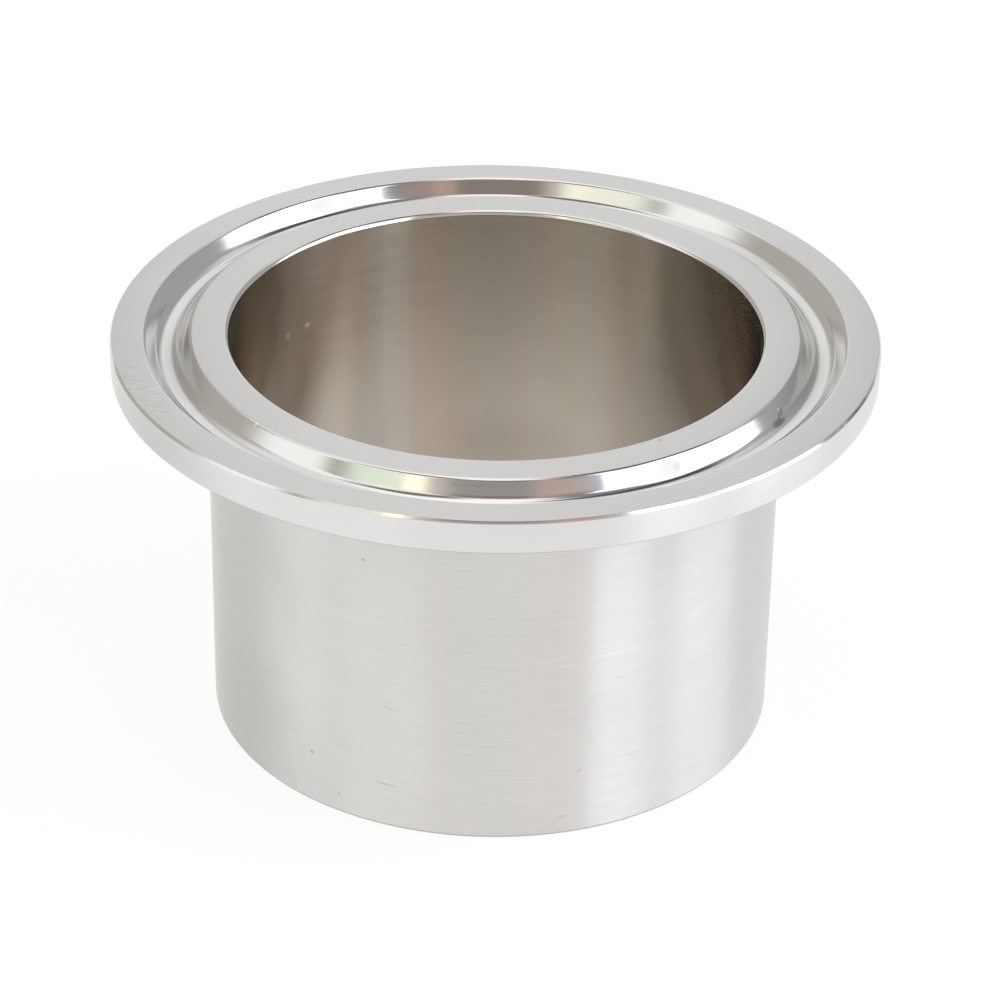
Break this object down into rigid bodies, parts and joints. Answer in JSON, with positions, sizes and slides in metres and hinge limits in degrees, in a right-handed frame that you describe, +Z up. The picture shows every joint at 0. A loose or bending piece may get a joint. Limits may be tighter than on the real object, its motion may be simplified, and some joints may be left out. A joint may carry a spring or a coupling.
{
  "type": "sanitary clamp ferrule",
  "caption": "Short turned stainless tube with a grooved clamp flange at one end, welded to a line and clamped face to face over a gasket.",
  "frame": {"origin": "centre of the tube's weld end, on the bore axis", "axes": "+Z up the bore axis, from the weld end to the grooved sealing face; round about Z, so X and Y are free"},
  "size_m": [0.0506, 0.0506, 0.0275],
  "materials": {
    "stainless": "turned 304 stainless steel: satin lands with fine circular tool marks, bright groove and edges, fine lathe lines round the tube, duller bore"
  },
  "bodies": {
    "root": {"ferrule": "stainless"}
  },
  "joints": []
}
